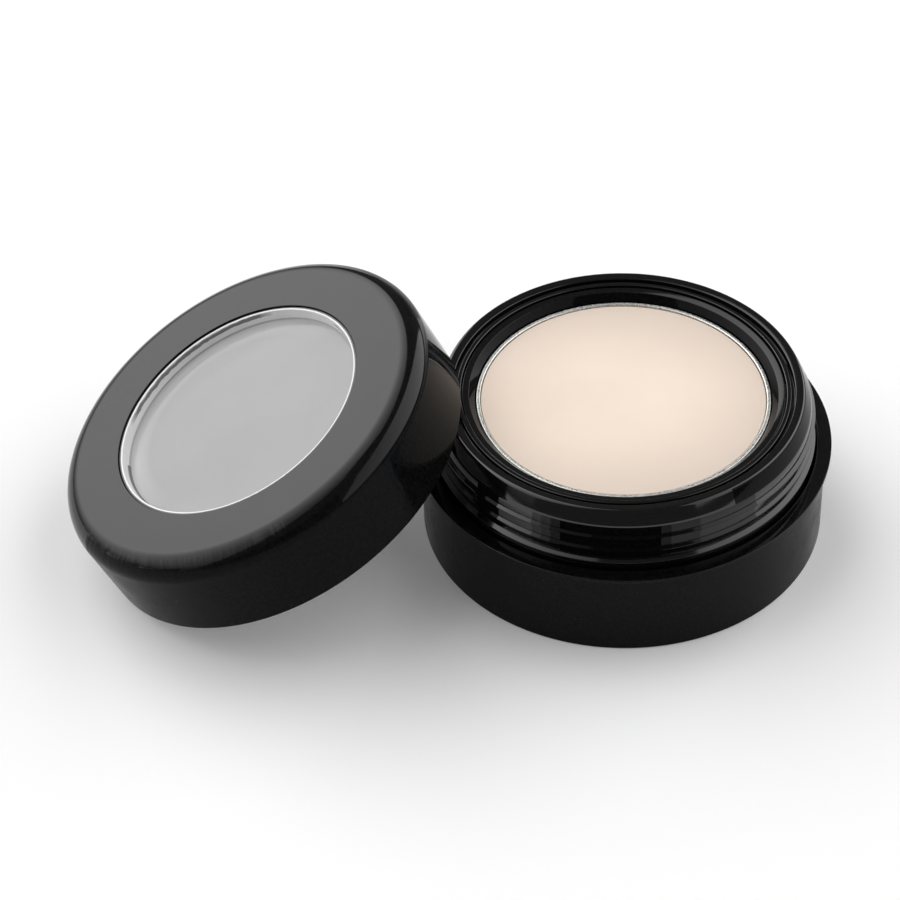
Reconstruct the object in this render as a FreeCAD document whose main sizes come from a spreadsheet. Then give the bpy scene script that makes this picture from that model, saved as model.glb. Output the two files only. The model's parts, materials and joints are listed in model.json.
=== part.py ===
import FreeCAD, Part
import Sketcher
import os

# Cream pot with a windowed push-fit lid. The lid is off and leans on the neck.
# Millimetres. Origin at the centre of the pot's foot, +Z up, lid on the -X side.
# Radii are built up from the pan outwards, heights from the table upwards.

# Driving dimensions: name, value, what it measures
SIZES = [
    # Pan and cream
    ("pan_radius", 13.0, "outside of the pan"),
    ("pan_depth", 4.0, "outside depth of the pan"),
    ("pan_wall", 0.38, "wall of the pan"),
    ("pan_floor", 0.4, "floor of the pan"),
    ("pan_bevel", 0.12, "bevel of the pan's rim"),
    ("pan_corner", 0.6, "bevel of the pan's bottom edge"),
    ("pan_drop", 1.15, "rim of the pan below the top of the neck"),
    ("cream_drop", 0.12, "cream below the rim of the pan"),
    ("cream_gap", 0.05, "clearance round the cream"),
    ("cream_bevel", 0.1, "bevel of the cream's edge"),
    ("glue_thick", 0.25, "glue under the pan"),
    ("glue_inset", 4.0, "edge of the glue inside the edge of the pan"),
    # Cup that holds the pan
    ("pan_gap", 0.1, "clearance between the pan and its cup"),
    ("cup_wall", 0.72, "wall of the pan cup"),
    ("cup_floor", 0.9, "floor of the pan cup"),
    ("cup_lip_drop", 0.27, "lip of the pan cup below the top of the neck"),
    ("cup_bevel", 0.11, "bevel of that lip"),
    ("cup_gap", 0.08, "clearance round the pan cup in the neck"),
    ("funnel_run", 0.7, "how far the mouth of the pan cup slopes outwards"),
    ("funnel_drop", 0.78, "how far it slopes down"),
    # Neck ring
    ("ledge_width", 0.43, "ledge that carries the lip of the pan cup"),
    ("ledge_drop", 1.1, "that ledge below the top of the neck"),
    ("ledge_thick", 1.0, "thickness of that ledge"),
    ("lip_width", 0.36, "inner lip of the neck's rim"),
    ("lip_drop", 0.05, "inner lip below the top of the neck"),
    ("rim_groove", 0.36, "width of the groove in the rim"),
    ("rim_groove_depth", 0.28, "depth of that groove"),
    ("seal_land", 0.83, "land of the rim that the seal presses on"),
    ("rim_round", 0.34, "rounding of the rim's outer edge"),
    ("shoulder_run", 0.75, "how far the shoulder slopes out below the rim"),
    ("shoulder_height", 1.61, "height of that slope, before its foot is rounded"),
    ("shoulder_round", 2.2, "rounding of the foot of the shoulder"),
    ("neck_wall", 1.28, "wall of the neck"),
    ("neck_rise", 5.7, "top of the neck above the flange"),
    ("collar_step", 0.42, "step from the neck's wall out to the collar"),
    ("collar_rise", 0.66, "edge of the collar above the flange"),
    ("collar_slope", 0.2, "height of the slope on top of the collar"),
    ("skirt_wall", 0.9, "wall of the neck's skirt inside the pot"),
    ("skirt_gap", 0.1, "clearance between the skirt and the pot's floor"),
    ("snap_height", 3.6, "snap bead of the skirt above the pot's floor"),
    ("snap_depth", 0.22, "how far that bead stands out"),
    ("snap_width", 0.9, "width of that bead at its root"),
    ("snap_gap", 0.06, "clearance round that bead"),
    # Beads that hold the lid on the neck
    ("bead_drop", 0.62, "upper bead below the foot of the shoulder"),
    ("bead_pitch", 1.42, "from the upper bead down to the lower one"),
    ("bead_depth", 0.29, "how far a bead stands out of the neck"),
    ("bead_root", 0.42, "width of a bead at its wall"),
    ("bead_crest", 0.12, "width of a bead at its crest"),
    ("lid_bead_gap", 0.12, "clearance between a bead in the lid and the neck's wall"),
    ("lid_bead_play", 0.2, "play between a bead in the lid and the bead it snaps under"),
    # Outer pot
    ("collar_gap", 0.1, "clearance between the collar and the mouth of the pot"),
    ("wall_thick", 0.85, "wall of the pot"),
    ("base_floor", 1.2, "floor of the pot above the table"),
    ("flange_height", 8.8, "flange above the table"),
    ("flange_overhang", 0.52, "how far the flange stands out past the wall"),
    ("flange_edge", 0.25, "thickness of the flange at its edge"),
    ("mouth_round", 0.28, "rounding of the mouth of the pot"),
    ("foot_bevel", 0.15, "bevel of the bottom edge"),
    # Lid
    ("lid_gap", 0.1, "clearance between the closed lid and the collar"),
    ("lid_wall", 0.78, "wall of the lid"),
    ("lid_top", 1.2, "thickness of the lid's top"),
    ("lid_round", 1.95, "rounding of the lid's top edge"),
    ("lid_corner", 0.7, "bevel inside the lid's corner"),
    ("lid_rim_bevel", 0.15, "bevel of the lid's rim"),
    ("lid_lead", 0.22, "lead-in chamfer inside the lid's rim"),
    ("lean_gap", 0.4, "clearance between the leaning lid and the top of the neck"),
    ("lean_overlap", 1.06, "how far the leaning lid reaches in past the rim"),
    ("lean_aside", 1.1, "centre of the leaning lid off the X axis"),
    # Window and seal of the lid
    ("window_gap", 0.05, "clearance round the window in the lid's top"),
    ("window_collar", 0.3, "wall of the window's upstand"),
    ("window_drop", 0.14, "top of that upstand below the lid's top"),
    ("window_plate", 0.8, "thickness of the window"),
    ("window_flange", 1.4, "flange of the window under the lid's top"),
    ("window_bevel", 0.25, "bevel in the window's corner"),
    ("seal_width", 2.2, "width of the seal"),
    ("seal_thick", 1.24, "thickness of the seal"),
    ("seal_squeeze", 0.05, "how far the closed lid squeezes the seal"),
    ("seal_play", 0.15, "play of the seal under the lid's top"),
    ("seal_gap", 0.12, "clearance round the seal"),
    ("seal_inset", 0.28, "edge of the seal inside the edge of the rim"),
    ("fence_wall", 0.5, "wall of the fence round the seal"),
    ("fence_drop", 0.9, "height of that fence"),
]

doc = FreeCAD.newDocument("cream_pot")
sheet = doc.addObject("Spreadsheet::Sheet", "Sizes")
for row, (size_name, size_value, size_note) in enumerate(SIZES, start=1):
    sheet.set("A%d" % row, size_name)
    sheet.set("B%d" % row, str(size_value))
    sheet.set("C%d" % row, size_note)
    sheet.setAlias("B%d" % row, size_name)
doc.recompute()


def size(text):
    """An expression in which each word is a cell of the sheet."""
    words = text.split()
    return " ".join("Sizes." + word if word[0].isalpha() else word for word in words)


def joined(*terms):
    """Adds up expressions, each in its own brackets."""
    return " + ".join("(%s)" % term for term in terms)


def value(expression):
    return float(sheet.evalExpression(expression))


# Radii, from the pan outwards
PAN_R = size("pan_radius")
CREAM_R = joined(PAN_R, size("0 - pan_wall - cream_gap"))
CUP_BORE = joined(PAN_R, size("pan_gap"))
CUP_R = joined(CUP_BORE, size("cup_wall"))
LEDGE_R = joined(CUP_R, size("cup_gap"))
SEAT_R = joined(LEDGE_R, size("ledge_width"))
CUP_LIP_R = joined(SEAT_R, size("0 - cup_gap"))
GROOVE_IN = joined(SEAT_R, size("lip_width"))
GROOVE_MID = joined(GROOVE_IN, size("rim_groove / 2"))
GROOVE_OUT = joined(GROOVE_IN, size("rim_groove"))
RIM_R = joined(GROOVE_OUT, size("seal_land"))
LAND_R = joined(RIM_R, size("shoulder_run"))
COLLAR_R = joined(LAND_R, size("collar_step"))
NECK_BORE = joined(LAND_R, size("0 - neck_wall"))
SKIRT_BORE = joined(COLLAR_R, size("0 - skirt_wall"))
MOUTH_R = joined(COLLAR_R, size("collar_gap"))
WALL_R = joined(MOUTH_R, size("wall_thick"))
FLANGE_R = joined(WALL_R, size("flange_overhang"))
LID_BORE = joined(COLLAR_R, size("lid_gap"))
LID_R = joined(LID_BORE, size("lid_wall"))
BEAD_R = joined(LAND_R, size("bead_depth"))
LID_BEAD_R = joined(LAND_R, size("lid_bead_gap"))
SEAL_R = joined(RIM_R, size("0 - seal_inset"))
SEAL_BORE = joined(SEAL_R, size("0 - seal_width"))
WINDOW_FLANGE_R = joined(SEAL_BORE, size("0 - seal_gap"))
HOLE_R = joined(WINDOW_FLANGE_R, size("0 - window_flange"))
WINDOW_R = joined(HOLE_R, size("0 - window_gap"))
WINDOW_BORE = joined(WINDOW_R, size("0 - window_collar"))
FENCE_BORE = joined(SEAL_R, size("seal_gap"))
FENCE_R = joined(FENCE_BORE, size("fence_wall"))

# Heights of the pot, from the table upwards
FLOOR_Z = size("base_floor")
SNAP_Z = size("base_floor + snap_height")
FLANGE_Z = size("flange_height")
COLLAR_Z = joined(FLANGE_Z, size("collar_rise"))
LAND_Z = joined(COLLAR_Z, size("collar_slope"))
NECK_Z = joined(FLANGE_Z, size("neck_rise"))
SHOULDER_Z = joined(NECK_Z, size("0 - shoulder_height"))
UPPER_BEAD_Z = joined(SHOULDER_Z, size("0 - bead_drop - bead_root / 2"))
LOWER_BEAD_Z = joined(UPPER_BEAD_Z, size("0 - bead_pitch"))
LIP_Z = joined(NECK_Z, size("0 - lip_drop"))
LEDGE_Z = joined(NECK_Z, size("0 - ledge_drop"))
LEDGE_UNDER_Z = joined(LEDGE_Z, size("0 - ledge_thick"))
CUP_LIP_Z = joined(NECK_Z, size("0 - cup_lip_drop"))
FUNNEL_Z = joined(CUP_LIP_Z, size("0 - funnel_drop"))
PAN_Z = joined(NECK_Z, size("0 - pan_drop"))
PAN_FOOT_Z = joined(PAN_Z, size("0 - pan_depth"))
CREAM_FOOT_Z = joined(PAN_FOOT_Z, size("pan_floor"))
CREAM_Z = joined(PAN_Z, size("0 - cream_drop"))
CUP_FLOOR_Z = joined(PAN_FOOT_Z, size("0 - glue_thick"))
CUP_FOOT_Z = joined(CUP_FLOOR_Z, size("0 - cup_floor"))

# Heights of the lid, from its own rim upwards
SEAL_Z = size("neck_rise - seal_squeeze")
SEAL_TOP_Z = joined(SEAL_Z, size("seal_thick"))
UNDER_Z = joined(SEAL_TOP_Z, size("seal_play"))
LID_Z = joined(UNDER_Z, size("lid_top"))
WINDOW_Z = joined(LID_Z, size("0 - window_drop"))
PLATE_Z = joined(UNDER_Z, size("0 - window_plate"))
FENCE_Z = joined(UNDER_Z, size("0 - fence_drop"))

# Beads of the lid, just under those of the neck when its rim is down on the flange
LID_BEAD_DROP = joined(FLANGE_Z, size("bead_root + lid_bead_play"))
LID_UPPER_BEAD_Z = joined(UPPER_BEAD_Z, "0 - (%s)" % LID_BEAD_DROP)
LID_LOWER_BEAD_Z = joined(LOWER_BEAD_Z, "0 - (%s)" % LID_BEAD_DROP)

# Lean of the lid: its rim stands on the table and its far side rests on the neck's rim
LID_EDGE = joined(LID_R, size("0 - lid_rim_bevel"))
LID_INNER_EDGE = joined(LID_BORE, size("lid_lead"))
LEAN_ANGLE = "asin((%s) / (%s))" % (joined(NECK_Z, size("lean_gap")), joined(LID_EDGE, LID_INNER_EDGE))
LEAN_X = "0 - (%s) * cos(%s) - (%s)" % (LID_INNER_EDGE, LEAN_ANGLE, joined(RIM_R, size("0 - lean_overlap")))
LEAN_Z = "(%s) * sin(%s)" % (LID_EDGE, LEAN_ANGLE)

ON_AXIS = "0"
ON_RIM = "0"


def new_body(name):
    body = doc.addObject("PartDesign::Body", name)
    body.Label = name
    return body


def profile(body, name, corners):
    """A closed outline of straight lines in a plane through the body's Z axis.

    Each corner is a radius and a height, both expressions of the sheet.
    """
    sketch = body.newObject("Sketcher::SketchObject", name)
    plane = next(item for item in body.Origin.OriginFeatures if item.Role == "XZ_Plane")
    sketch.AttachmentSupport = [(plane, "")]
    sketch.MapMode = "FlatFace"
    points = [FreeCAD.Vector(value(radius), value(height), 0) for radius, height in corners]
    count = len(points)
    for index in range(count):
        sketch.addGeometry(Part.LineSegment(points[index], points[(index + 1) % count]))
    for index in range(count):
        sketch.addConstraint(Sketcher.Constraint("Coincident", index, 2, (index + 1) % count, 1))
    for index, corner in enumerate(corners):
        for kind, place, on_axis in (("DistanceX", corner[0], -2), ("DistanceY", corner[1], -1)):
            if place == "0":
                sketch.addConstraint(Sketcher.Constraint("PointOnObject", index, 1, on_axis))
            else:
                driven = Sketcher.Constraint(kind, -1, 1, index, 1, value(place))
                number = sketch.addConstraint(driven)
                sketch.setExpression("Constraints[%d]" % number, place)
    return sketch


def revolved(body, name, corners):
    sketch = profile(body, name + "_outline", corners)
    turned = body.newObject("PartDesign::Revolution", name + "_turned")
    turned.Profile = sketch
    turned.ReferenceAxis = (sketch, ["V_Axis"])
    turned.Angle = 360
    sketch.Visibility = False
    doc.recompute()
    return turned


def ring_edges(base, name, rings):
    """Names the circular edges of base that lie at the given radii and heights."""
    places = [(value(ring_radius), value(height)) for ring_radius, height in rings]
    names = []
    for number, edge in enumerate(base.Shape.Edges, start=1):
        if not isinstance(edge.Curve, Part.Circle):
            continue
        for ring_radius, height in places:
            same_radius = abs(edge.Curve.Radius - ring_radius) < 1e-4
            if same_radius and abs(edge.Curve.Center.z - height) < 1e-4:
                names.append("Edge%d" % number)
    if len(names) != len(rings):
        raise ValueError("%s: %d edges for %d rings" % (name, len(names), len(rings)))
    return names


def rounded(body, base, name, radius, rings):
    fillet = body.newObject("PartDesign::Fillet", name)
    fillet.Base = (base, ring_edges(base, name, rings))
    fillet.setExpression("Radius", radius)
    doc.recompute()
    return fillet


def bevelled(body, base, name, width, rings):
    chamfer = body.newObject("PartDesign::Chamfer", name)
    chamfer.Base = (base, ring_edges(base, name, rings))
    chamfer.setExpression("Size", width)
    doc.recompute()
    return chamfer


def bead(wall, crest, middle):
    """Corners, from below, of a bead that stands from a wall's radius to a crest's radius."""
    root = size("bead_root / 2")
    tip = size("bead_crest / 2")
    return [
        (wall, joined(middle, "0 - " + root)),
        (crest, joined(middle, "0 - " + tip)),
        (crest, joined(middle, tip)),
        (wall, joined(middle, root)),
    ]


def lean(body):
    """Sets a piece of the lid, drawn about its own rim, where the lid leans."""
    leaned = FreeCAD.Rotation(FreeCAD.Vector(0, -1, 0), value(LEAN_ANGLE))
    body.Placement = FreeCAD.Placement(FreeCAD.Vector(), leaned)
    body.setExpression("Placement.Rotation.Angle", LEAN_ANGLE)
    body.setExpression("Placement.Base.x", LEAN_X)
    body.setExpression("Placement.Base.y", size("lean_aside"))
    body.setExpression("Placement.Base.z", LEAN_Z)


def make_base_shell():
    """Outer pot: flat foot, straight wall, thin overhanging flange and a snap groove."""
    body = new_body("base_shell")
    lip_under = joined(FLANGE_Z, size("0 - flange_edge"))
    lip_root = joined(lip_under, size("0 - flange_overhang"))
    groove_half = size("snap_width / 2 + snap_gap")
    groove_r = joined(COLLAR_R, size("snap_depth + snap_gap"))
    shell = revolved(body, "shell", [
        (ON_AXIS, ON_RIM),
        (WALL_R, ON_RIM),
        (WALL_R, lip_root),
        (FLANGE_R, lip_under),
        (FLANGE_R, FLANGE_Z),
        (MOUTH_R, FLANGE_Z),
        (MOUTH_R, joined(SNAP_Z, groove_half)),
        (groove_r, SNAP_Z),
        (MOUTH_R, joined(SNAP_Z, "0 - (%s)" % groove_half)),
        (MOUTH_R, FLOOR_Z),
        (ON_AXIS, FLOOR_Z),
    ])
    shell = bevelled(body, shell, "foot_edge", size("foot_bevel"), [(WALL_R, ON_RIM)])
    rounded(body, shell, "mouth_edge", size("mouth_round"), [(MOUTH_R, FLANGE_Z)])
    return body


def make_neck_ring():
    """Neck with two beads for the lid, cored out from below, whose skirt snaps into the outer pot."""
    body = new_body("neck_ring")
    skirt_z = joined(FLOOR_Z, size("skirt_gap"))
    core_z = joined(FLANGE_Z, "0 - (%s)" % joined(SKIRT_BORE, "0 - (%s)" % NECK_BORE))
    bead_half = size("snap_width / 2")
    ring = revolved(body, "ring", [
        (SKIRT_BORE, skirt_z),
        (COLLAR_R, skirt_z),
        (COLLAR_R, joined(SNAP_Z, "0 - (%s)" % bead_half)),
        (joined(COLLAR_R, size("snap_depth")), SNAP_Z),
        (COLLAR_R, joined(SNAP_Z, bead_half)),
        (COLLAR_R, COLLAR_Z),
        (LAND_R, LAND_Z),
        *bead(LAND_R, BEAD_R, LOWER_BEAD_Z),
        *bead(LAND_R, BEAD_R, UPPER_BEAD_Z),
        (LAND_R, SHOULDER_Z),
        (RIM_R, NECK_Z),
        (GROOVE_OUT, NECK_Z),
        (GROOVE_MID, joined(NECK_Z, size("0 - rim_groove_depth"))),
        (GROOVE_IN, LIP_Z),
        (SEAT_R, LIP_Z),
        (SEAT_R, LEDGE_Z),
        (LEDGE_R, LEDGE_Z),
        (LEDGE_R, LEDGE_UNDER_Z),
        (NECK_BORE, LEDGE_UNDER_Z),
        (NECK_BORE, FLANGE_Z),
        (SKIRT_BORE, core_z),
    ])
    ring = rounded(body, ring, "shoulder_edge", size("shoulder_round"), [(LAND_R, SHOULDER_Z)])
    rounded(body, ring, "rim_edge", size("rim_round"), [(RIM_R, NECK_Z)])
    return body


def make_pan_cup():
    """Cup that hangs by its lip in the neck and holds the pan, with a funnelled mouth."""
    body = new_body("pan_cup")
    mouth_r = joined(CUP_BORE, size("funnel_run"))
    cup = revolved(body, "cup", [
        (ON_AXIS, CUP_FOOT_Z),
        (CUP_R, CUP_FOOT_Z),
        (CUP_R, LEDGE_Z),
        (CUP_LIP_R, LEDGE_Z),
        (CUP_LIP_R, CUP_LIP_Z),
        (mouth_r, CUP_LIP_Z),
        (CUP_BORE, FUNNEL_Z),
        (CUP_BORE, CUP_FLOOR_Z),
        (ON_AXIS, CUP_FLOOR_Z),
    ])
    bevelled(body, cup, "cup_lip", size("cup_bevel"), [(CUP_LIP_R, CUP_LIP_Z), (mouth_r, CUP_LIP_Z)])
    return body


def make_pan():
    """Pressed metal pan with a broken rim and a bevelled bottom edge."""
    body = new_body("pan")
    bore = joined(PAN_R, size("0 - pan_wall"))
    pan = revolved(body, "pressing", [
        (ON_AXIS, PAN_FOOT_Z),
        (PAN_R, PAN_FOOT_Z),
        (PAN_R, PAN_Z),
        (bore, PAN_Z),
        (bore, CREAM_FOOT_Z),
        (ON_AXIS, CREAM_FOOT_Z),
    ])
    pan = bevelled(body, pan, "pan_rim", size("pan_bevel"), [(PAN_R, PAN_Z), (bore, PAN_Z)])
    bevelled(body, pan, "pan_foot", size("pan_corner"), [(PAN_R, PAN_FOOT_Z)])
    return body


def make_pan_glue():
    """Round patch of glue between the pan and the floor of its cup."""
    body = new_body("pan_glue")
    glue_r = joined(PAN_R, size("0 - glue_inset"))
    revolved(body, "patch", [
        (ON_AXIS, CUP_FLOOR_Z),
        (glue_r, CUP_FLOOR_Z),
        (glue_r, PAN_FOOT_Z),
        (ON_AXIS, PAN_FOOT_Z),
    ])
    return body


def make_cream():
    """Cream poured level into the pan, just below its rim."""
    body = new_body("cream")
    fill = revolved(body, "fill", [
        (ON_AXIS, CREAM_FOOT_Z),
        (CREAM_R, CREAM_FOOT_Z),
        (CREAM_R, CREAM_Z),
        (ON_AXIS, CREAM_Z),
    ])
    bevelled(body, fill, "cream_edge", size("cream_bevel"), [(CREAM_R, CREAM_Z)])
    return body


def make_lid_shell():
    """Lid moulding: rounded top with a hole, skirt with two beads and a fence for the seal."""
    body = new_body("lid_shell")
    lid = revolved(body, "moulding", [
        (joined(LID_BORE, size("lid_lead")), ON_RIM),
        (LID_R, ON_RIM),
        (LID_R, LID_Z),
        (HOLE_R, LID_Z),
        (HOLE_R, UNDER_Z),
        (FENCE_BORE, UNDER_Z),
        (FENCE_BORE, FENCE_Z),
        (FENCE_R, FENCE_Z),
        (FENCE_R, UNDER_Z),
        (LID_BORE, UNDER_Z),
        *reversed(bead(LID_BORE, LID_BEAD_R, LID_UPPER_BEAD_Z)),
        *reversed(bead(LID_BORE, LID_BEAD_R, LID_LOWER_BEAD_Z)),
        (LID_BORE, size("lid_lead")),
    ])
    lid = rounded(body, lid, "top_edge", size("lid_round"), [(LID_R, LID_Z)])
    lid = bevelled(body, lid, "inner_corner", size("lid_corner"), [(LID_BORE, UNDER_Z)])
    bevelled(body, lid, "rim_edge_lid", size("lid_rim_bevel"), [(LID_R, ON_RIM)])
    lean(body)
    return body


def make_window():
    """Clear dish: a plate under the lid's top with an upstand that lines the hole."""
    body = new_body("window")
    dish = revolved(body, "dish", [
        (ON_AXIS, PLATE_Z),
        (WINDOW_FLANGE_R, PLATE_Z),
        (WINDOW_FLANGE_R, UNDER_Z),
        (WINDOW_R, UNDER_Z),
        (WINDOW_R, WINDOW_Z),
        (WINDOW_BORE, WINDOW_Z),
        (WINDOW_BORE, UNDER_Z),
        (ON_AXIS, UNDER_Z),
    ])
    bevelled(body, dish, "dish_corner", size("window_bevel"), [(WINDOW_BORE, UNDER_Z)])
    lean(body)
    return body


def make_seal_ring():
    """Foam ring, loose between the window's flange and the fence in the lid."""
    body = new_body("seal_ring")
    revolved(body, "foam", [
        (SEAL_BORE, SEAL_Z),
        (SEAL_R, SEAL_Z),
        (SEAL_R, SEAL_TOP_Z),
        (SEAL_BORE, SEAL_TOP_Z),
    ])
    lean(body)
    return body


pieces = [
    make_base_shell(),
    make_neck_ring(),
    make_pan_cup(),
    make_pan(),
    make_pan_glue(),
    make_cream(),
    make_lid_shell(),
    make_window(),
    make_seal_ring(),
]
doc.recompute()

for item in doc.Objects:
    if "Invalid" in item.State or "Error" in item.State:
        raise RuntimeError("%s failed: %s" % (item.Label, item.State))
for piece in pieces:
    if piece.Shape.isNull() or not piece.Shape.isValid():
        raise RuntimeError("%s has no valid shape" % piece.Label)
    if len(piece.Shape.Solids) != 1:
        raise RuntimeError("%s is not one solid" % piece.Label)

os.makedirs("parts", exist_ok=True)
for piece in pieces:
    piece.Shape.exportStep("parts/%s.step" % piece.Label)
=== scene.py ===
import json
import math

import bmesh
import bpy
from mathutils import Matrix, Vector


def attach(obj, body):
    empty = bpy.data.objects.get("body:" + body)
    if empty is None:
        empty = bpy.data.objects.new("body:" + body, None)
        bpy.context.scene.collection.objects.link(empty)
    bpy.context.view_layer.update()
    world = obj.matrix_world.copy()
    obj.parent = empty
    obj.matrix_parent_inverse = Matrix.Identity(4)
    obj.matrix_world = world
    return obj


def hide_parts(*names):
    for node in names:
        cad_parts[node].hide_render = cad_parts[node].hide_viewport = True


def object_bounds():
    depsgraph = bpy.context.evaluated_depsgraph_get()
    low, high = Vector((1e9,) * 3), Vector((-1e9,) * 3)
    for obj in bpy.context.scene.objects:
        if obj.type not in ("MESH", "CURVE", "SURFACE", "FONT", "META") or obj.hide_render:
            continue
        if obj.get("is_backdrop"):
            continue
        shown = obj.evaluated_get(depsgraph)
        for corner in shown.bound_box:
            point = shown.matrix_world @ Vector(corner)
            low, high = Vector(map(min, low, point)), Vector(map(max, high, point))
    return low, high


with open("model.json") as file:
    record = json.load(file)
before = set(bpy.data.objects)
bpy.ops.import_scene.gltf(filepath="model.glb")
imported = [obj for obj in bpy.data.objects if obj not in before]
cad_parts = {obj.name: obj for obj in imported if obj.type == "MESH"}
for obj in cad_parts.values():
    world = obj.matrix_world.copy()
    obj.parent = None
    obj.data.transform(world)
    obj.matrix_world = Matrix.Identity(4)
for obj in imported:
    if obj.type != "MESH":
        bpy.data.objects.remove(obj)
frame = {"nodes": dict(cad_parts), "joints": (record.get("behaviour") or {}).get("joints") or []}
cad_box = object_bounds()

# Cream pot with a windowed push-fit lid that leans on its neck.
# Outlines are in millimetres about each piece's own axis and become metres in the mesh.
MM = 0.001
TURN_STEPS = 240
ARC_STEPS = 12
ARC_STEPS_LEAST = 4
SHARP_ANGLE = 40
ON_AXIS = 1e-6

# Outer cup of the pot, with the groove for the neck's snap bead
WALL_R = 18.0
FLANGE_R = 18.52
FLANGE_Z = 8.8
FLANGE_EDGE = 0.25
FLANGE_DEPTH = 0.77
MOUTH_R = 17.15
FLOOR_Z = 1.2
SNAP_Z = 4.8
GROOVE_DEPTH = 0.18
GROOVE_HALF = 0.51

# Neck, from the skirt in the cup up to the shoulder
SKIRT_BORE = 16.15
SKIRT_Z = 1.3
SKIRT_TOP_Z = 8.0
SNAP_REACH = 0.22
SNAP_HALF = 0.45
COLLAR_R = 17.05
COLLAR_Z = 9.46
LAND_R = 16.63
LAND_Z = 9.66
SHOULDER_Z = 12.89
SHOULDER_ROUND = 2.2
NECK_Z = 14.5
NECK_BORE = 15.35
NECK_BORE_Z = 8.8

# Rim of the neck, with a gutter, a ring and a ledge inside it
RIM_R = 15.88
RIM_BORE = 15.08
RIM_DROP = 0.1
GUTTER_R = 14.98
GUTTER_BORE = 14.8
GUTTER_Z = 13.95
RING_R = 14.72
RING_BORE = 14.33
RING_Z = 14.28
LEDGE_BORE = 13.9
LEDGE_Z = 13.4
LEDGE_FOOT_Z = 12.4

# Cup with its lip and funnel, the pan in it and the cream
CUP_R = 13.82
CUP_BORE = 13.1
CUP_FOOT_Z = 8.2
CUP_FLOOR_Z = 9.1
LIP_R = 14.25
LIP_Z = 14.1
FUNNEL_R = 13.62
FUNNEL_Z = 13.98
FUNNEL_FOOT_Z = 13.42
PAN_R = 13.0
PAN_BORE = 12.62
PAN_Z = 13.35
PAN_FOOT_Z = 9.35
CREAM_R = 12.57
CREAM_Z = 13.23
CREAM_FOOT_Z = 9.75

# Lid, window and seal, with heights from the lid's own rim
LID_R = 17.93
LID_BORE = 17.15
LID_MOUTH_R = 17.37
LID_MOUTH_Z = 0.22
LID_Z = 8.24
LID_ROUND = 1.95
UNDER_Z = 7.04
RIB_R = 16.22
RIB_BORE = 15.72
RIB_Z = 6.14
HOLE_R = 11.88
WINDOW_R = 11.83
WINDOW_BORE = 11.53
WINDOW_TAPER = 0.2
WINDOW_Z = 8.1
WINDOW_FLANGE_R = 13.28
PLATE_Z = 6.24
SEAL_R = 15.6
SEAL_BORE = 13.4
SEAL_Z = 5.65
SEAL_TOP_Z = 6.89
SEAL_ROUND = 0.12

# Beads that hold the lid on the neck: crest radii and middles of the neck's and the lid's
BEAD_R = 16.92
BEAD_ZS = (10.64, 12.06)
LID_BEAD_R = 16.75
LID_BEAD_ZS = (1.22, 2.64)
BEAD_ROOT = 0.42
BEAD_CREST = 0.12
BEAD_ROUND = 0.05

# How far a face's normal points up, and how wide the bands are in which faces are sorted
UPRIGHT = 0.25
SLOPING = 0.36
FLAT = 0.9
WALL_BAND = 0.25
WINDOW_BAND = 0.3
HAIR = 0.01

# Shine of the neck's blacks, and the bearings in degrees at which another of them begins: painted
# reflection, bright and dark by bearing
NECK_SHINE = (0.7, 0.37, 0.23, 0.1, 0.0)
WALL_SECTORS = (
    (-180, 0), (-147, 4), (-138, 0), (-126, 1), (-122.5, 2), (-119.5, 3), (-117, 4),
    (-87, 3), (-84, 2), (-75, 1), (-55, 0),
)
SHOULDER_SECTORS = ((-180, 0), (-63, 3), (20, 0))
SLOPE_LEVEL = 3
FUNNEL_LEVEL = 3

# Bearings and slopes, in degrees, that tell the blacks of the lid apart: its satin sectors are painted
# reflection, darker at those bearings
FACING_POT = 46
SATIN_BEARINGS = ((-155, -62), (8, 75))
SATIN_LEFT = -105
SATIN_FROM_FRONT = 52.5
SATIN_FROM_BACK = 37.5
SATIN_TO = 80

# Dust on the black plastic, and the streaks on the lid's rounded edge, bumped and with painted highlight
# in their colour
DUST_SPACING = 1.9
DUST_SHARE = 0.22
DUST_R = 0.06
FLOW_BEARINGS = (-155, -80)
FLOW_FADE = 12
FLOW_STRETCH = 60.0

# Painted light and shade on the window's upstand and plate, and its streak of glue with painted
# reflection: bearings in degrees, and levels above the plate
STREAK_BEARINGS = (76, 150)
STREAK_LEVELS = (0.66, 0.92)
LINE_BEARINGS = (-3, 27)
LINE_LEVELS = (0.2, 0.65)
LINE_HALF = 0.05
WEDGE_BEARINGS = (-135, -122)
WEDGE_LEVELS = (0.3, 0.42)
FOOT_LEVELS = (0.1, 0.2)
SHADED_BEARING = 125


def rounded_outline(corners):
    """Turns corners (radius, height, rounding) into points, with an arc at each rounded one."""
    count = len(corners)
    points = []
    for index, (radius, height, rounding) in enumerate(corners):
        here = Vector((radius, height))
        if rounding == 0:
            points.append(here)
            continue
        before = Vector(corners[index - 1][:2]) - here
        after = Vector(corners[(index + 1) % count][:2]) - here
        half = before.angle(after) / 2
        reach = rounding / math.tan(half)
        inward = (before.normalized() + after.normalized()).normalized()
        middle = here + inward * rounding / math.sin(half)
        start = here + before.normalized() * reach - middle
        sweep = start.angle_signed(here + after.normalized() * reach - middle)
        steps = max(ARC_STEPS_LEAST, round(ARC_STEPS * abs(sweep) / (math.pi / 2)))
        for step in range(steps + 1):
            angle = -sweep * step / steps
            turned = Matrix.Rotation(angle, 2) @ start
            points.append(middle + turned)
    return points


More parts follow.
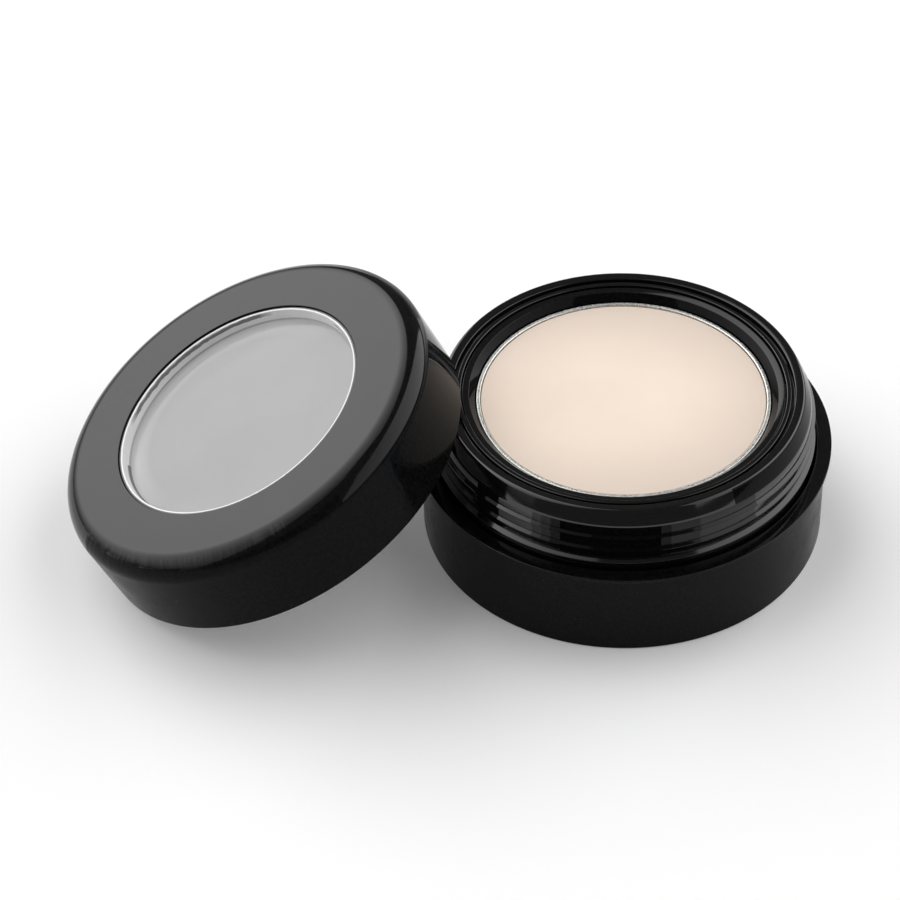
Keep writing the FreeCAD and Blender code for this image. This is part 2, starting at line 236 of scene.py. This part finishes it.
def lathe(bm, corners):
    """Revolves an outline about Z. It starts and ends on the axis, or it closes into a ring."""
    rings = []
    for radius, height in rounded_outline(corners):
        if radius < ON_AXIS:
            rings.append([bm.verts.new((0, 0, height * MM))])
            continue
        ring = []
        spread = radius * MM
        for step in range(TURN_STEPS):
            angle = 2 * math.pi * step / TURN_STEPS
            place = (spread * math.cos(angle), spread * math.sin(angle), height * MM)
            ring.append(bm.verts.new(place))
        rings.append(ring)
    pairs = list(zip(rings, rings[1:]))
    if len(rings[0]) > 1:
        pairs.append((rings[-1], rings[0]))
    for low, high in pairs:
        for step in range(TURN_STEPS):
            after = (step + 1) % TURN_STEPS
            if len(low) == 1:
                bm.faces.new((low[0], high[after], high[step]))
            elif len(high) == 1:
                bm.faces.new((low[step], low[after], high[0]))
            else:
                bm.faces.new((low[step], low[after], high[after], high[step]))


def beads(wall, crest, middles):
    """Corners, from below, of rings that stand from a wall's radius to a crest's radius."""
    corners = []
    for middle in middles:
        corners += [
            (wall, middle - BEAD_ROOT / 2, BEAD_ROUND),
            (crest, middle - BEAD_CREST / 2, BEAD_ROUND),
            (crest, middle + BEAD_CREST / 2, BEAD_ROUND),
            (wall, middle + BEAD_ROOT / 2, BEAD_ROUND),
        ]
    return corners


def new_piece(name, body, node, materials, fill, place=Matrix.Identity(4), finish=None):
    """Makes a mesh with fill(bm), sets it on its body and lets it stand for its CAD node.

    finish(radius, height, normal), in millimetres, gives the index of a face's material.
    """
    bm = bmesh.new()
    fill(bm)
    bmesh.ops.recalc_face_normals(bm, faces=bm.faces)
    if finish:
        for face in bm.faces:
            middle = face.calc_center_median() / MM
            face.material_index = finish(middle.xy.length, middle.z, face.normal)
    mesh = bpy.data.meshes.new(name)
    bm.to_mesh(mesh)
    bm.free()
    mesh.polygons.foreach_set("use_smooth", [True] * len(mesh.polygons))
    mesh.set_sharp_from_angle(angle=math.radians(SHARP_ANGLE))
    for material in materials:
        mesh.materials.append(material)
    piece = bpy.data.objects.new(name, mesh)
    bpy.context.scene.collection.objects.link(piece)
    piece.matrix_world = place
    weighted = piece.modifiers.new("flat_faces", "WEIGHTED_NORMAL")
    weighted.keep_sharp = True
    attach(piece, body)
    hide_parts(node)
    return piece


def grey(level):
    """An opaque neutral colour."""
    return (level, level, level, 1)


def new_material(name):
    """A material with its node tree and its main shader."""
    material = bpy.data.materials.new(name)
    material.use_nodes = True
    tree = material.node_tree
    return material, tree, tree.nodes["Principled BSDF"]


def add_node(tree, kind, settings=None, **inputs):
    """Adds a node; an input is a value or another node's output."""
    node = tree.nodes.new(kind)
    for name, value in (settings or {}).items():
        setattr(node, name, value)
    for name, value in inputs.items():
        plug(tree, node.inputs[name.replace("_", " ")], value)
    return node


def plug(tree, socket, value):
    """Links another node's output to a socket, or sets the socket to a value."""
    if isinstance(value, bpy.types.NodeSocket):
        tree.links.new(value, socket)
    else:
        socket.default_value = value


def math_node(tree, operation, first, second=0.0):
    """One step of arithmetic on two values."""
    node = add_node(tree, "ShaderNodeMath", {"operation": operation})
    plug(tree, node.inputs[0], first)
    plug(tree, node.inputs[1], second)
    return node.outputs[0]


def remap(tree, value, low, high, new_low=0.0, new_high=1.0, kind="LINEAR"):
    """Stretches a value from one range to another and stops it at the ends."""
    settings = {"clamp": True, "interpolation_type": kind}
    names = {"From_Min": low, "From_Max": high, "To_Min": new_low, "To_Max": new_high}
    return add_node(tree, "ShaderNodeMapRange", settings, Value=value, **names).outputs[0]


def between(tree, value, start, end, soft):
    """1 where a value lies from start to end, falling off to 0 over a soft margin on each side."""
    rise = remap(tree, value, start - soft, start)
    fall = remap(tree, value, end, end + soft, 1.0, 0.0)
    return math_node(tree, "MULTIPLY", rise, fall)


def mix_colors(tree, share, first, second):
    """A blend of two colours by the share of the second."""
    node = add_node(tree, "ShaderNodeMix", {"data_type": "RGBA"})
    plug(tree, node.inputs["Factor"], share)
    plug(tree, node.inputs[6], first)
    plug(tree, node.inputs[7], second)
    return node.outputs[2]


def local_point(tree):
    """The place on the piece, in its own frame."""
    return add_node(tree, "ShaderNodeTexCoord").outputs["Object"]


def polar(tree, point):
    """Angle, distance from the axis and height of a point, as three values."""
    parts = add_node(tree, "ShaderNodeSeparateXYZ", Vector=point).outputs
    angle = math_node(tree, "ARCTAN2", parts["Y"], parts["X"])
    across = math_node(tree, "MULTIPLY", parts["X"], parts["X"])
    along = math_node(tree, "MULTIPLY", parts["Y"], parts["Y"])
    distance = math_node(tree, "SQRT", math_node(tree, "ADD", across, along))
    return angle, distance, parts["Z"]


def noise(tree, point, size, detail=2.0):
    """Noise whose patches are about size millimetres across."""
    scale = 1 / (size * MM)
    return add_node(tree, "ShaderNodeTexNoise", Vector=point, Scale=scale, Detail=detail).outputs[0]


def cells(tree, point, spacing):
    """The outputs of a pattern of cells that are about spacing millimetres apart."""
    return add_node(tree, "ShaderNodeTexVoronoi", Vector=point, Scale=1 / (spacing * MM)).outputs


def bump(tree, strength, depth, height):
    """A node that tilts the normal by a height, of a depth in millimetres."""
    return add_node(tree, "ShaderNodeBump", Strength=strength, Distance=depth * MM, Height=height)


def dust(tree, point):
    """Specks in some of the cells of a pattern: 1 on a speck and 0 off it."""
    pattern = cells(tree, point, DUST_SPACING)
    reach = DUST_R / DUST_SPACING
    dot = remap(tree, pattern["Distance"], reach * 0.5, reach, 1.0, 0.0)
    lot = add_node(tree, "ShaderNodeSeparateColor", Color=pattern["Color"]).outputs[0]
    return math_node(tree, "MULTIPLY", dot, math_node(tree, "LESS_THAN", lot, DUST_SHARE))


def flow_marks(tree, point):
    """Fine streaks that run over the front of the lid's rounded edge, and fade out round it."""
    angle, distance, height = polar(tree, point)
    around = math_node(tree, "MULTIPLY", angle, FLOW_STRETCH)
    up = math_node(tree, "MULTIPLY", height, FLOW_STRETCH)
    swept = add_node(tree, "ShaderNodeCombineXYZ", X=around, Y=up).outputs[0]
    streaks = add_node(tree, "ShaderNodeTexNoise", Vector=swept, Scale=1.0, Detail=2.0).outputs[0]
    outside = remap(tree, distance, (LID_R - 2.0) * MM, (LID_R - 1.2) * MM)
    above = remap(tree, height, (LID_Z - 2.4) * MM, (LID_Z - 1.2) * MM)
    front = between(tree, math_node(tree, "DEGREES", angle), *FLOW_BEARINGS, FLOW_FADE)
    zone = math_node(tree, "MULTIPLY", front, math_node(tree, "MULTIPLY", outside, above))
    return math_node(tree, "MULTIPLY", streaks, zone)


def black_plastic(name, specular, smooth, rough, flow=False, base=0.004, peel=0.03, tint=(1, 1, 1, 1)):
    """Moulded black plastic with an uneven polish and a little dust.

    Its roughness goes from smooth to rough, peel is the strength of its fine unevenness, and flow adds
    streaks to the lid's edge, bumped and with painted highlight in their colour near its top.
    """
    material, tree, shader = new_material(name)
    point = local_point(tree)
    grain = remap(tree, noise(tree, point, 0.3, 3.0), 0.3, 0.7)
    shade = mix_colors(tree, grain, grey(base * 0.5), grey(base * 1.5))
    skin = bump(tree, peel, 0.02, noise(tree, point, 0.35))
    if flow:
        marks = flow_marks(tree, point)
        height = polar(tree, point)[2]
        # Painted highlight: the streaks are lighter in colour near the top of the lid's rounded edge.
        pale = remap(tree, height, (LID_Z - 0.6) * MM, (LID_Z - 0.3) * MM, 0.0, 0.5)
        pale = math_node(tree, "MULTIPLY", pale, remap(tree, marks, 0.42, 0.6))
        shade = mix_colors(tree, pale, shade, grey(0.03))
        streaked = bump(tree, 0.5, 0.05, marks)
        plug(tree, streaked.inputs["Normal"], skin.outputs[0])
        skin = streaked
    specks = dust(tree, point)
    plug(tree, shader.inputs["Base Color"], mix_colors(tree, specks, shade, grey(0.16)))
    gloss = remap(tree, noise(tree, point, 2.5, 4.0), 0.35, 0.65, smooth, rough)
    dull = math_node(tree, "MULTIPLY", specks, 0.6)
    plug(tree, shader.inputs["Roughness"], math_node(tree, "MAXIMUM", gloss, dull))
    plug(tree, shader.inputs["Normal"], skin.outputs[0])
    shader.inputs["Specular IOR Level"].default_value = specular
    shader.inputs["Specular Tint"].default_value = tint
    return material


def pan_metal():
    """Pressed aluminium with a fine speckle."""
    material, tree, shader = new_material("pan_metal")
    point = local_point(tree)
    speckle = noise(tree, point, 0.12, 3.0)
    share = remap(tree, speckle, 0.35, 0.65)
    tone = mix_colors(tree, share, (0.5, 0.49, 0.45, 1), (0.92, 0.92, 0.9, 1))
    plug(tree, shader.inputs["Base Color"], tone)
    plug(tree, shader.inputs["Roughness"], remap(tree, speckle, 0.3, 0.7, 0.22, 0.5))
    plug(tree, shader.inputs["Normal"], bump(tree, 0.5, 0.03, speckle).outputs[0])
    shader.inputs["Metallic"].default_value = 1.0
    return material


def cream_skin():
    """Smooth poured cream, faintly mottled, with painted shade that greys it towards the pan round an
    oval middle.
    """
    material, tree, shader = new_material("cream_skin")
    point = local_point(tree)
    share = remap(tree, noise(tree, point, 5.0, 3.0), 0.35, 0.65)
    body = mix_colors(tree, share, (0.915, 0.765, 0.645, 1), (0.935, 0.785, 0.665, 1))
    oval = add_node(tree, "ShaderNodeVectorMath", {"operation": "MULTIPLY_ADD"})
    plug(tree, oval.inputs[0], point)
    plug(tree, oval.inputs[1], (0.667, 1, 1))
    plug(tree, oval.inputs[2], (2.5 * MM, 0, 0))
    distance = polar(tree, oval.outputs[0])[1]
    # Painted shade: the cream greys towards the pan, away from an oval middle set off the centre.
    outer = remap(tree, distance, 3.5 * MM, 15.0 * MM, kind="SMOOTHSTEP")
    plug(tree, shader.inputs["Base Color"], mix_colors(tree, outer, body, (0.71, 0.6, 0.515, 1)))
    grain = bump(tree, 0.08, 0.05, noise(tree, point, 0.5, 3.0))
    plug(tree, shader.inputs["Normal"], grain.outputs[0])
    shader.inputs["Roughness"].default_value = 0.55
    shader.inputs["Specular IOR Level"].default_value = 0.25
    shader.inputs["Subsurface Weight"].default_value = 0.15
    shader.inputs["Subsurface Radius"].default_value = (1.0, 0.7, 0.5)
    shader.inputs["Subsurface Scale"].default_value = 0.4 * MM
    return material


def window_plate():
    """Milky clear plastic with a faint haze, with painted light that makes it brighter at the edge where
    the upstand shades it.
    """
    material, tree, shader = new_material("window_plate")
    point = local_point(tree)
    angle, distance, _ = polar(tree, point)
    haze = remap(tree, noise(tree, point, 6.0, 3.0), 0.3, 0.7)
    clear = mix_colors(tree, haze, grey(0.42), grey(0.44))
    # Painted light: the plate turns paler near its rim on the bearing that the upstand shades.
    from_shade = math_node(tree, "SUBTRACT", angle, math.radians(SHADED_BEARING))
    shaded = remap(tree, math_node(tree, "COSINE", from_shade), -0.1, 0.6)
    near_edge = remap(tree, distance, (WINDOW_BORE - 2.2) * MM, (WINDOW_BORE - 0.2) * MM)
    painted_edge_light = math_node(tree, "MULTIPLY", shaded, near_edge)
    plug(tree, shader.inputs["Base Color"], mix_colors(tree, painted_edge_light, clear, grey(0.62)))
    plug(tree, shader.inputs["Roughness"], remap(tree, haze, 0.0, 1.0, 0.05, 0.09))
    shader.inputs["Specular IOR Level"].default_value = 0.2
    shader.inputs["Alpha"].default_value = 0.85
    return material


def window_edge():
    """The window's upstand, with painted light that makes it pale where light gathers in it.

    It has a dark streak of glue with a painted dark reflection, and painted shade in dark lines at its
    foot, a dark wedge and a dark top.
    """
    material, tree, shader = new_material("window_edge")
    point = local_point(tree)
    angle, distance, height = polar(tree, point)
    bearing = math_node(tree, "DEGREES", angle)
    level = math_node(tree, "SUBTRACT", math_node(tree, "MULTIPLY", height, 1 / MM), UNDER_Z)
    ripple = noise(tree, point, 0.7, 3.0)
    wave = math_node(tree, "MULTIPLY", math_node(tree, "SUBTRACT", ripple, 0.5), 0.3)
    glue_and_reflection_streak = between(tree, math_node(tree, "ADD", level, wave), *STREAK_LEVELS, 0.06)
    glue_and_reflection_streak = math_node(tree, "MULTIPLY", glue_and_reflection_streak, between(tree, bearing, *STREAK_BEARINGS, 8))
    line_level = remap(tree, bearing, *LINE_BEARINGS, *LINE_LEVELS)
    line = between(tree, math_node(tree, "SUBTRACT", level, line_level), -LINE_HALF, LINE_HALF, 0.04)
    line = math_node(tree, "MULTIPLY", line, between(tree, bearing, *LINE_BEARINGS, 4))
    wedge = remap(tree, level, *WEDGE_LEVELS, 1.0, 0.0)
    wedge = math_node(tree, "MULTIPLY", wedge, remap(tree, bearing, *WEDGE_BEARINGS, 1.0, 0.0))
    foot = remap(tree, level, *FOOT_LEVELS, 1.0, 0.0)
    top = remap(tree, distance, (WINDOW_BORE + 0.12) * MM, (WINDOW_BORE + 0.16) * MM)
    # Painted light: the upstand is pale. Over it lie the glue streak with its painted reflection, and
    # painted shade in the foot, wedge, line and top.
    tone = mix_colors(tree, ripple, grey(0.78), grey(0.9))
    for share, level_of_grey in ((glue_and_reflection_streak, 0.2), (foot, 0.4), (wedge, 0.2), (line, 0.06), (top, 0.03)):
        tone = mix_colors(tree, share, tone, grey(level_of_grey))
    plug(tree, shader.inputs["Base Color"], tone)
    plug(tree, shader.inputs["Roughness"], remap(tree, ripple, 0.3, 0.7, 0.1, 0.25))
    return material


def seal_foam():
    """Pale foam with fine pores."""
    material, tree, shader = new_material("seal_foam")
    pores = cells(tree, local_point(tree), 0.3)["Distance"]
    share = remap(tree, pores, 0.1, 0.6)
    tone = mix_colors(tree, share, (0.62, 0.62, 0.6, 1), (0.82, 0.82, 0.8, 1))
    plug(tree, shader.inputs["Base Color"], tone)
    plug(tree, shader.inputs["Normal"], bump(tree, 0.6, 0.08, pores).outputs[0])
    shader.inputs["Roughness"].default_value = 0.9
    return material


def soft_glue():
    """Hot-melt glue, slightly yellow and uneven."""
    material, tree, shader = new_material("soft_glue")
    cloud = noise(tree, local_point(tree), 1.5, 3.0)
    tone = mix_colors(tree, cloud, (0.7, 0.66, 0.52, 1), (0.82, 0.79, 0.68, 1))
    plug(tree, shader.inputs["Base Color"], tone)
    plug(tree, shader.inputs["Roughness"], remap(tree, cloud, 0.3, 0.7, 0.3, 0.5))
    plug(tree, shader.inputs["Normal"], bump(tree, 0.3, 0.1, cloud).outputs[0])
    return material


gloss_pot = black_plastic("black_gloss", 0.5, 0.05, 0.09)
gloss_lid = black_plastic("black_lid", 0.26, 0.07, 0.12, flow=True)
satin_pot = black_plastic("black_satin", 0.08, 0.2, 0.3)
satin_lid = black_plastic("black_lid_satin", 0.06, 0.2, 0.3, flow=True)
# Painted reflection: the cool specular tint on the lid's wall that faces the pot cancels the cream's warm
# reflection.
side_lid = black_plastic("black_lid_side", 0.05, 0.05, 0.09, peel=0.006, tint=(0.62, 0.83, 1, 1))
# Copies of one black at different shine; the neck's sectors among them are painted reflection.
neck_blacks = [
    black_plastic(f"black_neck_{100 * level:.0f}", level, 0.05, 0.09, base=0.003)
    for level in NECK_SHINE
]
funnel_black = neck_blacks[FUNNEL_LEVEL]
metal = pan_metal()
cream_top = cream_skin()
plate = window_plate()
edge = window_edge()
foam = seal_foam()
glue = soft_glue()


def wall_finish(radius, height, normal):
    """The pot is glossy, and satin on its outer wall."""
    outside = radius > WALL_R - WALL_BAND and abs(normal.z) < UPRIGHT
    return 1 if outside else 0


def lid_finish(radius, height, normal):
    """The lid's wall is satin, smoother where it faces the pot, with a cool specular tint there that
    cancels the cream's warm reflection. Part of its rounded edge is satin too, a painted reflection that
    darkens it at some bearings.

    On the left of its front, the satin starts higher up on the edge.
    """
    bearing = math.degrees(math.atan2(normal.y, normal.x))
    if wall_finish(radius, height, normal):
        return 2 if abs(bearing) < FACING_POT else 1
    slope = math.degrees(math.acos(min(1, max(-1, normal.z))))
    satin_from = SATIN_FROM_BACK
    if bearing <= 0:
        satin_from = SATIN_FROM_FRONT + min(0, (bearing - SATIN_LEFT) / 2)
    dull = any(start < bearing < end for start, end in SATIN_BEARINGS)
    return 1 if dull and radius > LID_R - LID_ROUND and satin_from < slope < SATIN_TO else 0


def sector_level(sectors, bearing):
    """Gives the level of the last sector that starts before the bearing."""
    return [level for start, level in sectors if start <= bearing][-1]


def neck_finish(radius, height, normal):
    """The neck is glossy, but its wall and its shoulder shine less in some sectors, a painted reflection
    that makes them darker at those bearings.
    """
    bearing = math.degrees(math.atan2(normal.y, normal.x))
    if radius < RIM_R or height < LAND_Z:
        return 0
    sloping = abs(normal.z) > SLOPING
    if sloping and height > SHOULDER_Z:
        return sector_level(SHOULDER_SECTORS, bearing)
    level = sector_level(WALL_SECTORS, bearing)
    return min(level, SLOPE_LEVEL) if sloping else level


def cup_finish(radius, height, normal):
    """The cup's lip is glossy, and its funnel is dull."""
    return 0 if normal.z > FLAT else 1


def window_finish(radius, height, normal):
    """The window's upstand has a material of its own."""
    return 1 if radius > WINDOW_BORE - WINDOW_BAND and height > UNDER_Z + HAIR else 0


def base_shell(bm):
    lathe(bm, [
        (0, 0, 0),
        (WALL_R, 0, 0.15),
        (WALL_R, FLANGE_Z - FLANGE_DEPTH, 0.06),
        (FLANGE_R, FLANGE_Z - FLANGE_EDGE, 0.03),
        (FLANGE_R, FLANGE_Z, 0.03),
        (MOUTH_R, FLANGE_Z, 0.28),
        (MOUTH_R, SNAP_Z + GROOVE_HALF, 0),
        (MOUTH_R + GROOVE_DEPTH, SNAP_Z, 0.05),
        (MOUTH_R, SNAP_Z - GROOVE_HALF, 0),
        (MOUTH_R, FLOOR_Z, 0.2),
        (0, FLOOR_Z, 0),
    ])


def neck_ring(bm):
    lathe(bm, [
        (SKIRT_BORE, SKIRT_Z, 0.1),
        (COLLAR_R, SKIRT_Z, 0.1),
        (COLLAR_R, SNAP_Z - SNAP_HALF, 0),
        (COLLAR_R + SNAP_REACH, SNAP_Z, 0.05),
        (COLLAR_R, SNAP_Z + SNAP_HALF, 0),
        (COLLAR_R, COLLAR_Z, 0.05),
        (LAND_R, LAND_Z, 0.04),
        *beads(LAND_R, BEAD_R, BEAD_ZS),
        (LAND_R, SHOULDER_Z, SHOULDER_ROUND),
        (RIM_R, NECK_Z, 0.34),
        (RIM_BORE, NECK_Z - RIM_DROP, 0.08),
        (GUTTER_R, GUTTER_Z, 0),
        (GUTTER_BORE, GUTTER_Z, 0),
        (RING_R, RING_Z, 0.08),
        (RING_BORE, RING_Z, 0.08),
        (RING_BORE, LEDGE_Z, 0),
        (LEDGE_BORE, LEDGE_Z, 0),
        (LEDGE_BORE, LEDGE_FOOT_Z, 0),
        (NECK_BORE, LEDGE_FOOT_Z, 0),
        (NECK_BORE, NECK_BORE_Z, 0),
        (SKIRT_BORE, SKIRT_TOP_Z, 0),
    ])


def pan_cup(bm):
    lathe(bm, [
        (0, CUP_FOOT_Z, 0),
        (CUP_R, CUP_FOOT_Z, 0.3),
        (CUP_R, LEDGE_Z, 0),
        (LIP_R, LEDGE_Z, 0),
        (LIP_R, LIP_Z, 0.1),
        (FUNNEL_R, FUNNEL_Z, 0.12),
        (CUP_BORE, FUNNEL_FOOT_Z, 0.05),
        (CUP_BORE, CUP_FLOOR_Z, 0.3),
        (0, CUP_FLOOR_Z, 0),
    ])


def pan(bm):
    lathe(bm, [
        (0, PAN_FOOT_Z, 0),
        (PAN_R, PAN_FOOT_Z, 0.6),
        (PAN_R, PAN_Z, 0.12),
        (PAN_BORE, PAN_Z, 0.12),
        (PAN_BORE, CREAM_FOOT_Z, 0.3),
        (0, CREAM_FOOT_Z, 0),
    ])


def cream(bm):
    lathe(bm, [
        (0, CREAM_FOOT_Z, 0),
        (CREAM_R, CREAM_FOOT_Z, 0.3),
        (CREAM_R, CREAM_Z, 0.1),
        (0, CREAM_Z, 0),
    ])


def lid_shell(bm):
    lathe(bm, [
        (LID_MOUTH_R, 0, 0.03),
        (LID_R, 0, 0.15),
        (LID_R, LID_Z, LID_ROUND),
        (HOLE_R, LID_Z, 0.05),
        (HOLE_R, UNDER_Z, 0),
        (RIB_BORE, UNDER_Z, 0),
        (RIB_BORE, RIB_Z, 0.06),
        (RIB_R, RIB_Z, 0.06),
        (RIB_R, UNDER_Z, 0),
        (LID_BORE, UNDER_Z, 0.7),
        *reversed(beads(LID_BORE, LID_BEAD_R, LID_BEAD_ZS)),
        (LID_BORE, LID_MOUTH_Z, 0.03),
    ])


def window(bm):
    lathe(bm, [
        (0, PLATE_Z, 0),
        (WINDOW_FLANGE_R, PLATE_Z, 0.06),
        (WINDOW_FLANGE_R, UNDER_Z, 0),
        (WINDOW_R, UNDER_Z, 0),
        (WINDOW_R, WINDOW_Z, 0.03),
        (WINDOW_BORE, WINDOW_Z, 0.06),
        (WINDOW_BORE - WINDOW_TAPER, UNDER_Z, 0.2),
        (0, UNDER_Z, 0),
    ])


def seal_ring(bm):
    lathe(bm, [
        (SEAL_BORE, SEAL_Z, SEAL_ROUND),
        (SEAL_R, SEAL_Z, SEAL_ROUND),
        (SEAL_R, SEAL_TOP_Z, SEAL_ROUND),
        (SEAL_BORE, SEAL_TOP_Z, SEAL_ROUND),
    ])


turn = next(joint for joint in frame["joints"] if joint["name"] == "lid_turn")
lean_axis = Vector(turn["axis"])
lean = Matrix.Rotation(math.atan2(lean_axis.x, lean_axis.z), 4, "Y")
on_lid = Matrix.Translation(turn["pos_m"]) @ lean
pot_blacks = [gloss_pot, satin_pot]
cup_blacks = [gloss_pot, funnel_black]
lid_blacks = [gloss_lid, satin_lid, side_lid]

new_piece("pot_shell", "pot", "base_shell", pot_blacks, base_shell, finish=wall_finish)
new_piece("pot_neck", "pot", "neck_ring", neck_blacks, neck_ring, finish=neck_finish)
new_piece("pot_pan_cup", "pot", "pan_cup", cup_blacks, pan_cup, finish=cup_finish)
new_piece("pot_pan", "pot", "pan", [metal], pan)
new_piece("pot_cream", "pot", "cream", [cream_top], cream)
new_piece("lid_cap", "lid", "lid_shell", lid_blacks, lid_shell, on_lid, lid_finish)
new_piece("lid_window", "lid", "window", [plate, edge], window, on_lid, window_finish)
new_piece("lid_seal", "liner", "seal_ring", [foam], seal_ring, on_lid)
frame["nodes"]["pan_glue"].data.materials.clear()
frame["nodes"]["pan_glue"].data.materials.append(glue)

# Camera at the photo's angle
CAMERA_TARGET = Vector((-15.08, 5.02, 4.18)) * MM
CAMERA_DISTANCE = 283.5 * MM
CAMERA_AZIMUTH = math.radians(-4.534)
CAMERA_ELEVATION = math.radians(42.355)
CAMERA_ROLL = math.radians(-1.968)
CAMERA_LENS = 124.56
CAMERA_SENSOR = 36
CAMERA_NEAR = 0.01
CAMERA_FAR = 100


def make_camera():
    flat = math.cos(CAMERA_ELEVATION)
    across = math.sin(CAMERA_AZIMUTH) * flat
    along = -math.cos(CAMERA_AZIMUTH) * flat
    back = Vector((across, along, math.sin(CAMERA_ELEVATION)))
    level = Vector((math.cos(CAMERA_AZIMUTH), math.sin(CAMERA_AZIMUTH), 0))
    upright = back.cross(level)
    right = level * math.cos(CAMERA_ROLL) + upright * math.sin(CAMERA_ROLL)
    up = back.cross(right)
    data = bpy.data.cameras.new("camera")
    data.lens = CAMERA_LENS
    data.sensor_width = CAMERA_SENSOR
    data.clip_start = CAMERA_NEAR
    data.clip_end = CAMERA_FAR
    camera = bpy.data.objects.new("camera", data)
    bpy.context.scene.collection.objects.link(camera)
    axes = Matrix((right, up, back)).transposed().to_4x4()
    camera.matrix_world = Matrix.Translation(CAMERA_TARGET + back * CAMERA_DISTANCE) @ axes
    bpy.context.scene.camera = camera


make_camera()

# Floor, two tall soft panels and a dim room
FLOOR_HALF = 30.0
FLOOR_DROP = 0.01
FLOOR_COLOR = 0.9
FLOOR_LIFT = 0.1
ROOM_LIGHT = 0.12
PANEL_DISTANCE = 2.5
PANEL_STEPS = 16
PANEL_RISE = 0.8
LEFT_EVEN = 0.6
LEFT_FOOT = 0.25
LEFT_FADE_FROM = 2
LEFT_FADE_OVER = 16
RIGHT_EVEN = 0.7


def make_floor():
    mesh = bpy.data.meshes.new("floor")
    half = FLOOR_HALF
    corners = [(-half, -half, 0), (half, -half, 0), (half, half, 0), (-half, half, 0)]
    mesh.from_pydata(corners, [], [(0, 1, 2, 3)])
    floor = bpy.data.objects.new("floor", mesh)
    floor.location.z = -FLOOR_DROP * MM
    bpy.context.scene.collection.objects.link(floor)
    material, tree, shader = new_material("floor")
    shader.inputs["Base Color"].default_value = grey(FLOOR_COLOR)
    shader.inputs["Roughness"].default_value = 0.9
    shader.inputs["Specular IOR Level"].default_value = 0.0
    shader.inputs["Emission Color"].default_value = grey(1)
    path = add_node(tree, "ShaderNodeLightPath").outputs
    seen = math_node(tree, "MAXIMUM", path["Is Camera Ray"], path["Is Glossy Ray"])
    seen = math_node(tree, "MAXIMUM", seen, path["Is Transmission Ray"])
    plug(tree, shader.inputs["Emission Strength"], math_node(tree, "MULTIPLY", seen, FLOOR_LIFT))
    mesh.materials.append(material)
    floor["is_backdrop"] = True


def make_panel(name, left, right, bottom, top, glow):
    """A soft panel on a wide arc: azimuths and elevations in degrees, azimuth 0 along +Y and 90 along +X.

    left and right depend on the elevation, top on the azimuth, and glow on both.
    """
    mesh = bpy.data.meshes.new(name)
    verts, strengths = [], []
    for row in range(PANEL_STEPS + 1):
        for column in range(PANEL_STEPS + 1):
            up, along = row / PANEL_STEPS, column / PANEL_STEPS
            rough_elevation = bottom + (90 - bottom) * up * PANEL_RISE
            start, end = left(rough_elevation), right(rough_elevation)
            azimuth = start + (end - start) * along
            elevation = bottom + (top(azimuth) - bottom) * up
            a, e = math.radians(azimuth), math.radians(elevation)
            place = Vector((math.sin(a) * math.cos(e), math.cos(a) * math.cos(e), math.sin(e)))
            verts.append(place * PANEL_DISTANCE)
            strengths.append(glow(azimuth, elevation))
    faces = []
    width = PANEL_STEPS + 1
    for row in range(PANEL_STEPS):
        for column in range(PANEL_STEPS):
            corner = row * width + column
            faces.append((corner, corner + width, corner + width + 1, corner + 1))
    mesh.from_pydata(verts, [], faces)
    mesh.polygons.foreach_set("use_smooth", [True] * len(faces))
    mesh.attributes.new("glow", "FLOAT", "POINT").data.foreach_set("value", strengths)
    material = bpy.data.materials.new(name)
    material.use_nodes = True
    tree = material.node_tree
    tree.nodes.clear()
    glow_value = add_node(tree, "ShaderNodeAttribute", {"attribute_name": "glow"}).outputs["Fac"]
    emission = add_node(tree, "ShaderNodeEmission", Strength=glow_value)
    output = add_node(tree, "ShaderNodeOutputMaterial")
    tree.links.new(emission.outputs[0], output.inputs["Surface"])
    mesh.materials.append(material)
    panel = bpy.data.objects.new(name, mesh)
    bpy.context.scene.collection.objects.link(panel)
    panel.visible_camera = False
    panel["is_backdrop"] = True


def bright_spot(azimuth, elevation, wide, tall, peak):
    """A glow that falls off smoothly from a bright spot."""
    def glow(a, e):
        return peak * math.exp(-((a - azimuth) / wide) ** 2 - ((e - elevation) / tall) ** 2)
    return glow


left_wash = bright_spot(azimuth=-45, elevation=40, wide=55, tall=38, peak=2.1)
left_core = bright_spot(azimuth=-33, elevation=28.5, wide=17, tall=15, peak=1.5)
right_wash = bright_spot(azimuth=55, elevation=25, wide=60, tall=60, peak=1.6)


def left_glow(azimuth, elevation):
    """The left panel's light, which is weaker near the floor."""
    fade = min(1, max(0, (elevation - LEFT_FADE_FROM) / LEFT_FADE_OVER))
    light = LEFT_EVEN + left_wash(azimuth, elevation) + left_core(azimuth, elevation)
    return light * (LEFT_FOOT + (1 - LEFT_FOOT) * fade)


def right_glow(azimuth, elevation):
    return RIGHT_EVEN + right_wash(azimuth, elevation)


def right_top(azimuth):
    """The right panel's upper edge is an arch."""
    across = (azimuth - 95) / 57
    return 45 + 25 * math.sqrt(max(0, 1 - across ** 2))


make_floor()
make_panel(
    "left_panel",
    left=lambda elevation: -122 - 0.2 * elevation,
    right=lambda elevation: -14 + 0.3 * elevation,
    bottom=2,
    top=lambda azimuth: 80,
    glow=left_glow,
)
make_panel(
    "right_panel",
    left=lambda elevation: 37,
    right=lambda elevation: 148,
    bottom=6,
    top=right_top,
    glow=right_glow,
)

world = bpy.data.worlds.new("room")
bpy.context.scene.world = world
world.use_nodes = True
background = world.node_tree.nodes["Background"]
background.inputs["Strength"].default_value = ROOM_LIGHT
background.inputs["Color"].default_value = grey(1)

bpy.context.scene.view_settings.view_transform = "Standard"

boxes = {"cad": cad_box, "visual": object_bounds()}
{name: [list(corner) for corner in box] for name, box in boxes.items()}
